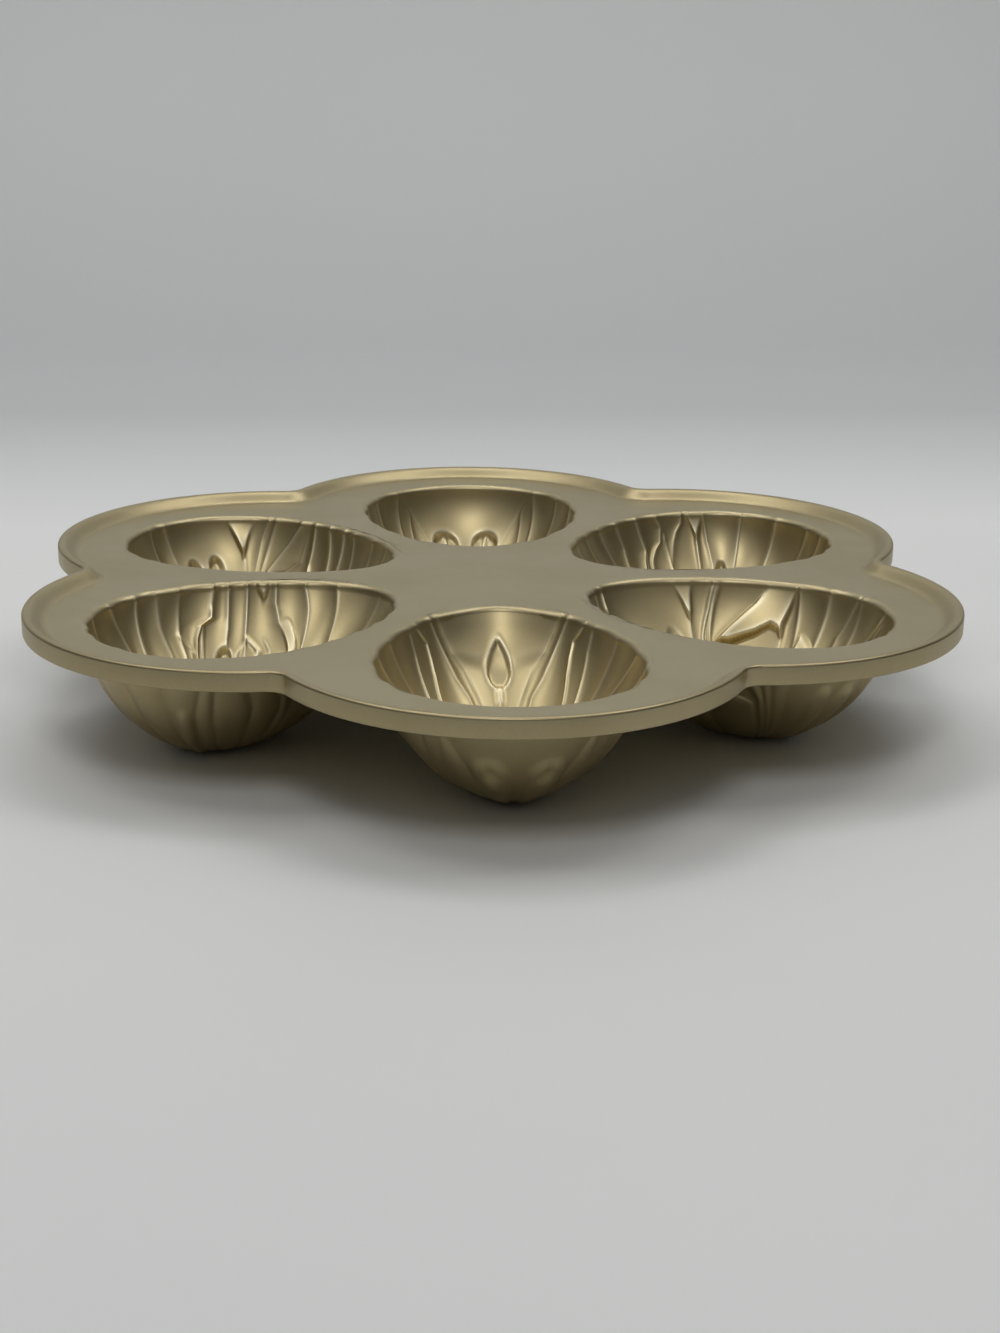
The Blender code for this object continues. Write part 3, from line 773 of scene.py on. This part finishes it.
def place_well(name, index):
    """One well, between the hub and the ledge inside the rim, turned by its number of sectors."""
    design = DESIGNS[index % len(DESIGNS)]
    outer_end = PAN_RADIUS - RIM_WIDTH - LEDGE - WALL
    inner_end = HUB_RADIUS + WALL
    half_length = (outer_end - inner_end) / 2
    centre = (outer_end + inner_end) / 2 + design.shift
    half_width = half_width_beside_neighbours(centre, half_length) - design.slack
    return Well(name, centre, half_length, half_width, design, FIRST_LOBE + index * SECTOR)


wells = [place_well(name, index) for index, name in enumerate(WELL_NAMES)]
for well in wells:
    length, width = (round(2 * half / MM, 1) for half in (well.half_length, well.half_width))
    print(well.name, "well:", length, "by", width, "mm at the lip")

# %% [markdown]
# The grid's columns follow the ridges, so a crest always has vertices on it. Columns crowd together
# beside a ridge and spread out over the middle of a fold, where the wall is smooth.

# %% Columns along the folds
LEAST_COLUMNS = 8  # in a fold
EVEN_SAMPLES = 4096  # round a ring, while it is smoothed


def ridge_lines(folds, down):
    """Direction of each fold's first ridge at each row, in degrees, and the first fold's again."""
    lines = [line_at(fold.path, down) for fold in folds]
    return np.stack([*lines, lines[0] + 360], axis=1)


def share_columns(folds):
    """For every column from straight outwards round, its fold and how far across it lies.

    Across a fold, the columns are spaced half evenly and half as a cosine.
    """
    widths = np.diff(ridge_lines(folds, np.linspace(0, 0.8, 5)).mean(axis=0))
    counts = LEAST_COLUMNS + np.floor((COLUMNS - LEAST_COLUMNS * len(folds)) * widths / 360)
    counts = counts.astype(int)
    counts[np.argmax(widths)] += COLUMNS - counts.sum()
    across = [np.arange(count) / count for count in counts]
    eased = [(share + (1 - np.cos(math.pi * share)) / 2) / 2 for share in across]
    fold, across = np.repeat(np.arange(len(folds)), counts), np.concatenate(eased)
    lip = ridge_lines(folds, np.zeros(1))[0]
    turned_to = (lip[fold] + (lip[fold + 1] - lip[fold]) * across) % 360
    first = np.argmin(turned_to)
    return np.roll(fold, -first), np.roll(across, -first)


def directions(folds, down):
    """The direction of every column at every row, in degrees."""
    fold, across = share_columns(folds)
    lines = ridge_lines(folds, down)
    first, last = lines[:, fold], lines[:, fold + 1]
    return first + (last - first) * across


def spread_round(values, turned_to, radius):
    """The values spread round each ring by a bell curve of this many degrees, which rounds the ridges."""
    even = np.arange(EVEN_SAMPLES) * 360 / EVEN_SAMPLES
    frequency = np.fft.rfftfreq(EVEN_SAMPLES, 360 / EVEN_SAMPLES)
    bell = np.exp(-2 * (math.pi * frequency * radius) ** 2)
    rings = []
    for ring, angle in zip(values, turned_to):
        spaced = np.interp(even, angle, ring, period=360)
        smoothed = np.fft.irfft(np.fft.rfft(spaced) * bell, EVEN_SAMPLES)
        rings.append(np.interp(angle, even, smoothed, period=360))
    return np.array(rings)


def spread_down(values, times):
    """Each row mixed with half of its neighbours above and below, this many times."""
    for _ in range(times):
        padded = np.pad(values, ((1, 1), (0, 0)), mode="edge")
        values = (padded[:-2] + 2 * padded[1:-1] + padded[2:]) / 4
    return values


# %% [markdown]
# All folds and marks together give one number at each point of the grid: how far the wall lies outside
# the plain bowl. Each fold's hollow is 1 less a power of the distance from its middle line. A depth of
# 1 in the tables of folds and marks is RELIEF at the lip, and less further down by a power of the
# cosine, so the pattern runs out flat at the floor.

# %% Relief of a wall
RELIEF = 1.5 * MM
NARROWING = 0.6
FOLD_FADE = 0.25
FOOT_FADE = 0.09


def relief(design, down, turned_to, fold_share):
    """How far the wall lies outside the plain bowl at each point of the grid, in metres.

    The folds are drawn at this share of their depth, and the marks at their full depth.
    """
    fold, across = share_columns(design.folds)
    of_fold = {name: np.array([getattr(f, name) for f in design.folds])[fold]
               for name in Fold._fields[1:]}
    beside = np.abs(2 * across - 1)
    rows = down[:, None]
    sink = of_fold["sink"] + of_fold["slant"] * rows
    section = sink * (1 - beside ** of_fold["flat"]) + of_fold["lean"] * (across - 0.5)
    start = smooth_step((rows - of_fold["top"]) / FOLD_FADE)
    lasting = of_fold["low"] - of_fold["foot"] * beside**2
    end = 1 - smooth_step((rows - lasting) / np.where(of_fold["foot"] > 0, FOOT_FADE, FOLD_FADE) + 1)
    depth = section * start * end * fold_share
    centred = (turned_to + 180) % 360 - 180
    for mark in design.marks:
        depth = mark(centred, rows, depth)
    return depth * np.cos(np.clip(rows, 0, 1) * math.pi / 2) ** NARROWING * RELIEF


# %% [markdown]
# The plain bowl is a superellipse that leans in: going down, the distance out shrinks as a power of the
# cosine and again in step with the depth, which grows as the same power of the sine. Every ring also
# moves outwards in step with its depth, and the relief pushes each point along the bowl's normal.

# %% The bowl
Surface = namedtuple("Surface", "grow top depth taper")


def bowl(well, down, turned_to, surface, push):
    """Points of a bowl surface, pushed along its normal."""
    angle = np.radians(turned_to)
    turn = np.clip(down, 0, 1)[:, None] * math.pi / 2
    round_out, deep = np.cos(turn) ** (2 / BOWL_FULLNESS), np.sin(turn) ** (2 / BOWL_FULLNESS)
    leaning = 1 - surface.taper * deep
    out = round_out * leaning
    width = (well.half_width + surface.grow) * (1 + EGG * np.cos(angle) * out)
    length = well.half_length + surface.grow
    across = np.stack([length * np.cos(angle), width * np.sin(angle)], axis=-1)
    reach = np.linalg.norm(across, axis=-1)
    level = round_out ** (BOWL_FULLNESS - 1) / reach
    steep = surface.taper * round_out**BOWL_FULLNESS + leaning * deep ** (BOWL_FULLNESS - 1)
    steep = steep / surface.depth - well.design.lean * level * across[..., 0] / reach
    push = push / np.hypot(level, steep)
    plan = across * (out + push * level / reach)[..., None]
    plan[..., 0] += well.design.lean * surface.depth * deep
    return plan, surface.top - deep * surface.depth - push * steep


def lip_outline(well, turned_to, grow):
    """The egg-shaped outline at the lip, each point moved outwards at right angles by grow."""
    angle = np.radians(turned_to)
    width = well.half_width * (1 + EGG * np.cos(angle))
    plan = np.stack([well.half_length * np.cos(angle), width * np.sin(angle)], axis=1)
    slope = -well.half_width * EGG * np.sin(angle) * np.sin(angle) + width * np.cos(angle)
    along = np.stack([-well.half_length * np.sin(angle), slope], axis=1)
    along /= np.linalg.norm(along, axis=1)[:, None]
    outward = np.stack([along[:, 1], -along[:, 0]], axis=1)
    return plan + outward * np.broadcast_to(grow, len(plan))[:, None]


def placed(well, plan, height):
    """Points given along and across the well's outward direction, placed in the pan."""
    out, aside = plan[..., 0] + well.centre, plan[..., 1]
    x = out * math.cos(well.turn) - aside * math.sin(well.turn)
    y = out * math.sin(well.turn) + aside * math.cos(well.turn)
    return np.stack([x, y, np.broadcast_to(height, x.shape)], axis=-1)


def even_directions():
    """The collar's columns: EDGE_HALF steps to the notch on each side and SPOKE to the middle."""
    return np.arange(COLUMNS) * 360 / COLUMNS


# %% [markdown]
# A well's rings run from the middle of its floor up the inside, over the rounded lip, across the
# collar to the deck, down through it, along a flare under the deck and down the outside to the flat
# foot. Every point also gets a crest value: how far the wall there stands proud of its surroundings.
# The coat uses it for a painted highlight, pale along the crests.

# %% Rings of a well
INSIDE_ROWS = 96
LIP_ROWS = 6
OUTSIDE_ROWS = 40
INSIDE_CROWDING = 0.94  # below 1, rows stand closer near the floor
OUTSIDE_END = 0.985  # share of the way down where the foot's fan begins
INSIDE_FOLDS = 0.5  # share of the folds' depth that shows
OUTSIDE_FOLDS = 1.4
OUTSIDE_RELIEF = 0.7
INSIDE_ROUNDING = 0.3  # degrees
OUTSIDE_ROUNDING = 0.8  # degrees
# These measure the crest value that sets where the pale highlight is painted.
CREST_REACH = 1.6  # degrees
CREST_PASSES = 8
CREST_HEIGHT = 0.30 * MM
# The lip eases into the deck's painted shade, from this share at its first ring to all of it at the deck.
LIP_LEVEL = 0.3  # how much of the deck's tint the lip's first ring has
FLARE = 2.4 * MM
FLARE_DROP = 10.0 * MM
COLLAR = WALL + 1.6 * MM
FOOT_BLEND = 1.2 * MM


def smooth_max(first, second, blend):
    """The larger of two values, with a soft change from one to the other."""
    near = np.maximum(blend - np.abs(first - second), 0) / blend
    return np.maximum(first, second) + near * near * blend / 4


def inside_rings(well):
    """The inside, its crest values and the scallop of its top ring."""
    down = np.linspace(0, 1, INSIDE_ROWS + 1)[:-1] ** INSIDE_CROWDING
    turned_to = directions(well.design.folds, down)
    full = relief(well.design, down, turned_to, INSIDE_FOLDS)
    push = spread_down(spread_round(full, turned_to, INSIDE_ROUNDING), 1)
    smoother = spread_down(spread_round(full, turned_to, CREST_REACH), CREST_PASSES)
    # The crest value sets where the pale highlight is painted: it grows with how far the wall stands proud
    # of its smoothed surroundings.
    crest_highlight = np.clip((smoother - push) / CREST_HEIGHT, 0, 1)
    inner = Surface(0.0, DECK_TOP - LIP_RADIUS, WELL_DEPTH - LIP_RADIUS, INSIDE_TAPER)
    plan, height = bowl(well, down, turned_to, inner, push)
    return placed(well, plan, height), crest_highlight, push[0]


def lip_rings(well, scallop):
    """A quarter round from the wall to the deck, along the scalloped lip."""
    turned_to = directions(well.design.folds, np.zeros(1))[0]
    rings = []
    for angle in np.linspace(0, math.pi / 2, LIP_ROWS + 1)[1:]:
        out = scallop + LIP_RADIUS * (1 - math.cos(angle))
        height = DECK_TOP - LIP_RADIUS * (1 - math.sin(angle))
        rings.append(placed(well, lip_outline(well, turned_to, out), height))
    return np.array(rings)


def outside_rings(well):
    """From the flare under the deck to the middle of the foot."""
    depth = DECK_TOP / math.sin(FOOT_DOWN * math.pi / 2) ** (2 / BOWL_FULLNESS)
    top_down = math.asin(((DECK_TOP - DECK_BOTTOM) / depth) ** (BOWL_FULLNESS / 2)) / (math.pi / 2)
    down = top_down + (OUTSIDE_END - top_down) * np.linspace(0, 1, OUTSIDE_ROWS)
    turned_to = directions(well.design.folds, down)
    below = np.sin(down * math.pi / 2) ** (2 / BOWL_FULLNESS) * depth - (DECK_TOP - DECK_BOTTOM)
    flare = FLARE * (1 - smooth_step(below / (2 * FLARE_DROP))) ** 3
    full = relief(well.design, down, turned_to, OUTSIDE_FOLDS)
    full = np.maximum(full, relief(well.design, down, turned_to, INSIDE_FOLDS))
    for knob_height in well.design.knobs:
        full = np.maximum(full, knob_height(turned_to, down[:, None]))
    push = spread_round(full, turned_to, OUTSIDE_ROUNDING)
    push = push * OUTSIDE_RELIEF * smooth_step(below / FLARE_DROP)[:, None] + flare[:, None]
    outer = Surface(SIDE_WALL, DECK_TOP, depth, OUTSIDE_TAPER)
    plan, height = bowl(well, down, turned_to, outer, push)
    return placed(well, plan, smooth_max(height, 0.0, FOOT_BLEND))


def add_well(well):
    """All rings of a well in one closed grid, with a fan at the floor and one at the foot."""
    inside, crest_highlight, scallop = inside_rings(well)
    lip = lip_rings(well, scallop)
    collar = lip_outline(well, even_directions(), COLLAR)
    rings = np.concatenate([
        inside[::-1],
        lip,
        placed(well, collar, DECK_TOP)[None],
        placed(well, collar, DECK_BOTTOM)[None],
        outside_rings(well),
    ])
    lean = np.array([[well.design.lean, 0.0]])
    floor = placed(well, lean * (WELL_DEPTH - LIP_RADIUS), DECK_TOP - WELL_DEPTH)
    foot = placed(well, lean * DECK_TOP, 0.0)
    points = np.concatenate([rings.reshape(-1, 3), floor, foot])
    crest_highlights, level = np.zeros(len(points)), np.zeros(len(points))
    crest_highlights[:crest_highlight.size] = crest_highlight[::-1].ravel()
    lip_start, collar_start = crest_highlight.size, crest_highlight.size + LIP_ROWS * COLUMNS
    # The lip and the collar take the deck's painted shade.
    level[lip_start:collar_start] = np.repeat(np.linspace(LIP_LEVEL, 1, LIP_ROWS), COLUMNS)
    level[collar_start:collar_start + 2 * COLUMNS] = 1.0
    last = (len(rings) - 1) * COLUMNS
    faces = [
        ring_faces(len(rings), COLUMNS),
        fan_faces(0, COLUMNS, len(points) - 2)[:, ::-1],
        fan_faces(last, COLUMNS, len(points) - 1),
    ]
    attributes = (("crest_highlight", crest_highlights), ("level_with_deck", level))
    return add_piece("relief_well_" + well.name, points, faces, well_coat, attributes)


for well in wells:
    piece = add_well(well)
    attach(piece, "root")
    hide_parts("well_" + well.name)

# %% [markdown]
# The deck fills what is left between the collars and the rim. One sixth of it is a strip between two
# loops: a collar, and the sector's own edge, which follows the rim from notch to notch and runs along
# a straight spoke to the middle of the pan and back. Neighbours share the spokes' points.

# %% The deck
STRIP_RINGS = 7


def sector_edge(outline, index):
    """The edge of one sixth of the deck, from its outermost point round by the middle of the pan."""
    per_lobe = 2 * EDGE_HALF
    first = index * per_lobe + LOBE_HALF
    steps = np.arange(EDGE_HALF)
    ahead = outline[(first + steps) % len(outline)]
    behind = outline[(first - EDGE_HALF + steps) % len(outline)]
    corner, last_corner = outline[(first + EDGE_HALF) % len(outline)], behind[0]
    share = np.arange(SPOKE)[:, None] / SPOKE
    return np.concatenate([ahead, corner * (1 - share), last_corner * share, behind])


def add_deck():
    """Six strips, top and bottom, with their walls: rings that go from hole to edge in soft steps."""
    outline = lobed_outline(RIM_WIDTH)
    shares = smooth_step(np.linspace(0, 1, STRIP_RINGS))[:, None, None]
    points, faces, count = [], [], 0
    for index, well in enumerate(wells):
        hole = placed(well, lip_outline(well, even_directions(), COLLAR), 0.0)[:, :2]
        strip = hole * (1 - shares) + sector_edge(outline, index) * shares
        for height in (DECK_TOP, DECK_BOTTOM):
            rings = np.concatenate([strip, np.full((*strip.shape[:2], 1), height)], axis=-1)
            points.append(rings.reshape(-1, 3))
            faces.append(ring_faces(len(rings), COLUMNS) + count)
            count += len(points[-1])
        points.append(np.concatenate([at_height(hole, h) for h in (DECK_TOP, DECK_BOTTOM)]))
        faces.append(ring_faces(2, COLUMNS) + count)
        count += len(points[-1])
    points.append(np.concatenate([at_height(outline, h) for h in (DECK_TOP, DECK_BOTTOM)]))
    faces.append(ring_faces(2, len(outline)) + count)
    return add_piece("deck_casting", np.concatenate(points), faces, deck_coat)


deck = add_deck()
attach(deck, "root")
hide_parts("deck")

# %% [markdown]
# The photograph has a pale cloth under the pan that turns up behind it, dark low down and lighter
# higher up. Here it is one sheet of paper: a floor, a cove and a wall, with shade painted on behind the
# pan that fades as the wall rises. The deck mirrors the wall, so the wall's painted shade also sets how
# bright the deck looks.

# %% Floor and wall
FLOOR_FRONT = -1.6
WALL_PLACE = 1.08
WALL_HEIGHT = 2.2
COVE_RADIUS = 0.3
COVE_STEPS = 16
BACKDROP_HALF = 2.5
PAPER_DEEP = (0.76, 0.77, 0.775)
PAPER_PALE = (0.80, 0.81, 0.812)
# Painted shade: the paper is darkened to this behind the pan, most low down.
PAINTED_PAPER_SHADE = (0.52, 0.54, 0.545)
PAPER_ROUGHNESS = 0.65
PAPER_SCALE, PAPER_DETAIL = 3.0, 3.0
PAPER_RANGE = (0.3, 0.7)
SHADE_START, SHADE_FULL = 0.25, 0.55  # behind the middle of the pan
SHADE_HEIGHT = 0.4
SHADE_LEFT = 0.1  # share of the shade that stays above that height


def paper():
    """Pale mottled paper, with painted shade behind the pan that fades as the wall rises."""
    material, nodes, links = new_material("backdrop_paper")
    shader = nodes["Principled BSDF"]
    shader.inputs["Roughness"].default_value = PAPER_ROUGHNESS
    place = nodes.new("ShaderNodeTexCoord").outputs["Object"]
    mottle = noise(nodes, links, place, PAPER_SCALE, PAPER_DETAIL)
    mottle = spread(nodes, links, mottle, *PAPER_RANGE, 0.0, 1.0)
    plain = mixed(nodes, links, mottle, PAPER_DEEP, PAPER_PALE)
    parts = nodes.new("ShaderNodeSeparateXYZ")
    links.new(place, parts.inputs["Vector"])
    # Painted shade behind the pan, fading as the wall rises.
    painted_shade = nodes.new("ShaderNodeMath")
    painted_shade.operation = "MULTIPLY"
    behind = spread(nodes, links, parts.outputs["Y"], SHADE_START, SHADE_FULL, 0.0, 1.0)
    low_down = spread(nodes, links, parts.outputs["Z"], 0.0, SHADE_HEIGHT, 1.0, SHADE_LEFT)
    links.new(behind, painted_shade.inputs[0])
    links.new(low_down, painted_shade.inputs[1])
    painted_shade_colour = mixed(nodes, links, painted_shade.outputs["Value"], plain, PAINTED_PAPER_SHADE)
    links.new(painted_shade_colour, shader.inputs["Base Color"])
    return material


def add_backdrop():
    """Floor, cove and wall: one profile carried straight across."""
    angles = np.linspace(-math.pi / 2, 0, COVE_STEPS)
    cove = np.column_stack([
        WALL_PLACE - COVE_RADIUS + COVE_RADIUS * np.cos(angles),
        COVE_RADIUS + COVE_RADIUS * np.sin(angles),
    ])
    profile = np.concatenate([[(FLOOR_FRONT, 0.0)], cove, [(WALL_PLACE, WALL_HEIGHT)]])
    sides = (-BACKDROP_HALF, BACKDROP_HALF)
    rows = [np.column_stack([np.full(len(profile), side), profile]) for side in sides]
    count = len(profile)
    here = np.arange(count - 1)
    faces = np.stack([here, here + count, here + count + 1, here + 1], axis=1)
    mesh = bpy.data.meshes.new("backdrop")
    mesh.from_pydata(np.concatenate(rows).tolist(), [], faces.tolist())
    mesh.shade_smooth()
    mesh.materials.append(paper())
    backdrop = bpy.data.objects.new("backdrop", mesh)
    bpy.context.scene.collection.objects.link(backdrop)
    print("backdrop of", len(faces), "strips")
    return backdrop


backdrop = add_backdrop()

# %% [markdown]
# The light is soft. A wide ceiling panel fills the wells evenly. A small key lamp in front is what the
# petal's middle and the leaf well's broad facet reflect. The left and right lamps shine in the panels
# that lean furthest back, the back lamp draws the bright line along the lips and the rim, and the wall
# lamp lights only the wall.

# %% Light
COOL_WHITE = (0.98, 0.99, 1.0)
WARM_WHITE = (1.0, 0.985, 0.95)
WHITE = (1.0, 1.0, 1.0)
WORLD_COLOUR = (0.95, 0.97, 1.0)
WORLD_STRENGTH = 0.04
LAMP_HEIGHT = 1.45


def add_lamp(name, place, target, width, height, power, colour):
    """A flat rectangular lamp that faces its target."""
    light = bpy.data.lights.new(name, "AREA")
    light.shape = "RECTANGLE"
    light.size, light.size_y = width, height
    light.energy = power
    light.color = colour
    lamp = bpy.data.objects.new(name, light)
    towards = np.subtract(target, place)
    towards = towards / np.linalg.norm(towards)
    side = np.cross(towards, (0.0, 1.0, 0.0))
    side /= np.linalg.norm(side)
    top = np.cross(side, towards)
    lamp.matrix_world = as_matrix(side, top, -towards, place)
    bpy.context.scene.collection.objects.link(lamp)
    return lamp


def set_world(colour, strength):
    """An even faint light from all round."""
    world = bpy.data.worlds.new("studio")
    bpy.context.scene.world = world
    world.use_nodes = True
    background = world.node_tree.nodes["Background"]
    background.inputs["Color"].default_value = (*colour, 1.0)
    background.inputs["Strength"].default_value = strength


set_world(WORLD_COLOUR, WORLD_STRENGTH)
lamps = [
    add_lamp("ceiling_panel", (-0.1, -0.8, 1.5), (-0.1, -0.8, 0.0), 3.6, 3.6, 12.5, COOL_WHITE),
    add_lamp("key_lamp", (-0.12, -1.15, LAMP_HEIGHT), (0.0, 0.0, 0.0), 0.5, 0.5, 4.6, WARM_WHITE),
    add_lamp("left_lamp", (-0.75, 0.0, LAMP_HEIGHT), (-0.75, 0.0, 0.0), 0.7, 0.6, 3.6, WARM_WHITE),
    add_lamp("right_lamp", (0.8, 0.1, LAMP_HEIGHT), (0.8, 0.1, 0.0), 0.8, 0.6, 4.0, WARM_WHITE),
    add_lamp("back_lamp", (-0.05, 0.45, LAMP_HEIGHT), (-0.05, 0.45, 0.0), 0.7, 0.4, 2.5, WARM_WHITE),
    add_lamp("wall_lamp", (0.0, 0.45, 1.2), (0.0, WALL_PLACE, 0.6), 2.0, 0.4, 2.6, WHITE),
]
print("lamps:", [lamp.name for lamp in lamps])
bpy.context.scene.view_settings.view_transform = "Standard"
